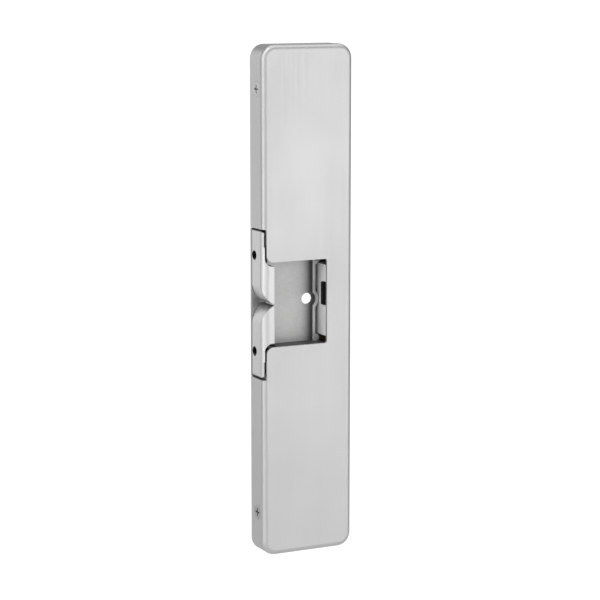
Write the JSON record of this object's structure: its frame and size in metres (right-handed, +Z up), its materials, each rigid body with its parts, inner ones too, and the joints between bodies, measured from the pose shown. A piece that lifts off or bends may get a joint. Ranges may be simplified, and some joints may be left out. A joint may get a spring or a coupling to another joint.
{
  "type": "electric door strike",
  "caption": "Slim surface-mounted electric strike with a satin cover, an open latch pocket, swinging keepers, solenoid locks and a latch monitor lever.",
  "frame": {"origin": "centre of the flat back face that lies on the door frame", "axes": "+X to the right seen from the front, +Y into the door frame, +Z up along the strike's length"},
  "size_m": [0.0444, 0.0127, 0.2286],
  "materials": {
    "satin_steel": "satin, fine vertical brushing",
    "keeper_steel": "satin, fine brushing",
    "zinc_plate": "dull plated sheet",
    "cast_zinc": "matte bead-blasted casting",
    "bright_screw": "plated, cross-recess",
    "black_plastic": "matte black",
    "pin_steel": "ground",
    "black_oxide": "black oxide",
    "spring_steel": "bright wire",
    "soft_iron": "plated soft iron",
    "bobbin_plastic": "natural nylon",
    "copper_wire": "enamelled copper winding",
    "brass_bar": "machined",
    "board_green": "solder mask",
    "blue_epoxy": "epoxy dipped",
    "sleeve_plastic": "shrink sleeve",
    "green_plastic": "moulded",
    "black_rubber": "soft",
    "red_wire": "insulation",
    "yellow_wire": "insulation"
  },
  "bodies": {
    "housing": {"cover": "satin_steel", "cover_screws": "bright_screw", "base_plate": "zinc_plate", "base_screws": "bright_screw", "strike_box": "cast_zinc", "monitor_bracket": "zinc_plate", "monitor_lever_pin": "pin_steel", "monitor_switch": "black_plastic", "monitor_switch_screws": "bright_screw", "circuit_board": "board_green", "board_standoffs": "brass_bar", "board_screws": "bright_screw", "rectifier": "black_plastic", "varistor": "blue_epoxy", "capacitor": "sleeve_plastic", "terminal_header": "green_plastic", "terminal_screws": "bright_screw", "wire_grommet": "black_rubber", "upper_coil_leads": "red_wire", "lower_coil_leads": "red_wire", "switch_leads": "yellow_wire", "upper_keeper_pin": "pin_steel", "upper_pin_bridge": "cast_zinc", "upper_solenoid_frame": "zinc_plate", "upper_bobbin": "bobbin_plastic", "upper_coil": "copper_wire", "upper_pole_piece": "soft_iron", "upper_lock_guide": "cast_zinc", "upper_return_spring": "spring_steel", "lower_keeper_pin": "pin_steel", "lower_pin_bridge": "cast_zinc", "lower_solenoid_frame": "zinc_plate", "lower_bobbin": "bobbin_plastic", "lower_coil": "copper_wire", "lower_pole_piece": "soft_iron", "lower_lock_guide": "cast_zinc", "lower_return_spring": "spring_steel"},
    "upper_keeper": {"upper_keeper": "keeper_steel", "upper_keeper_setscrew": "black_oxide", "upper_keeper_spring": "spring_steel"},
    "lower_keeper": {"lower_keeper": "keeper_steel", "lower_keeper_setscrew": "black_oxide", "lower_keeper_spring": "spring_steel"},
    "upper_lock": {"upper_plunger": "soft_iron", "upper_plunger_clip": "black_oxide", "upper_lock_bar": "brass_bar", "upper_lock_pin": "pin_steel"},
    "lower_lock": {"lower_plunger": "soft_iron", "lower_plunger_clip": "black_oxide", "lower_lock_bar": "brass_bar", "lower_lock_pin": "pin_steel"},
    "latch_monitor": {"monitor_lever": "black_plastic"},
    "monitor_button": {"monitor_switch_button": "bobbin_plastic"}
  },
  "joints": [
    {"name": "upper_keeper_hinge", "type": "hinge", "parent": "housing", "child": "upper_keeper", "pos_m": [-0.0172, 0, 0.028], "axis": [0, 1, 0], "range_deg": [0, 70], "stiffness_Nm_per_rad": 0.05, "springref_deg": -20.05},
    {"name": "lower_keeper_hinge", "type": "hinge", "parent": "housing", "child": "lower_keeper", "pos_m": [-0.0172, 0, -0.028], "axis": [0, -1, 0], "range_deg": [0, 70], "stiffness_Nm_per_rad": 0.05, "springref_deg": -20.05},
    {"name": "upper_lock_slide", "type": "slide", "parent": "housing", "child": "upper_lock", "axis": [0, 0, -1], "range_m": [0, 0.0039], "stiffness_N_per_m": 150, "springref_m": -0.003, "deforming": ["upper_return_spring"]},
    {"name": "lower_lock_slide", "type": "slide", "parent": "housing", "child": "lower_lock", "axis": [0, 0, 1], "range_m": [0, 0.0039], "stiffness_N_per_m": 150, "springref_m": -0.003, "deforming": ["lower_return_spring"]},
    {"name": "latch_monitor_hinge", "type": "hinge", "parent": "housing", "child": "latch_monitor", "pos_m": [0.0122, -0.0042, 0.003], "axis": [0, 0, 1], "range_deg": [0, 15], "stiffness_Nm_per_rad": 0.02, "springref_deg": -17.19},
    {"name": "monitor_button_slide", "type": "slide", "parent": "housing", "child": "monitor_button", "axis": [1, 0, 0], "range_m": [0, 0.0014]}
  ],
  "couplings": [
    {"joint": "lower_lock_slide", "follows": "upper_lock_slide", "ratio": 1},
    {"joint": "monitor_button_slide", "follows": "latch_monitor_hinge", "m_per_rad": 0.0051}
  ]
}
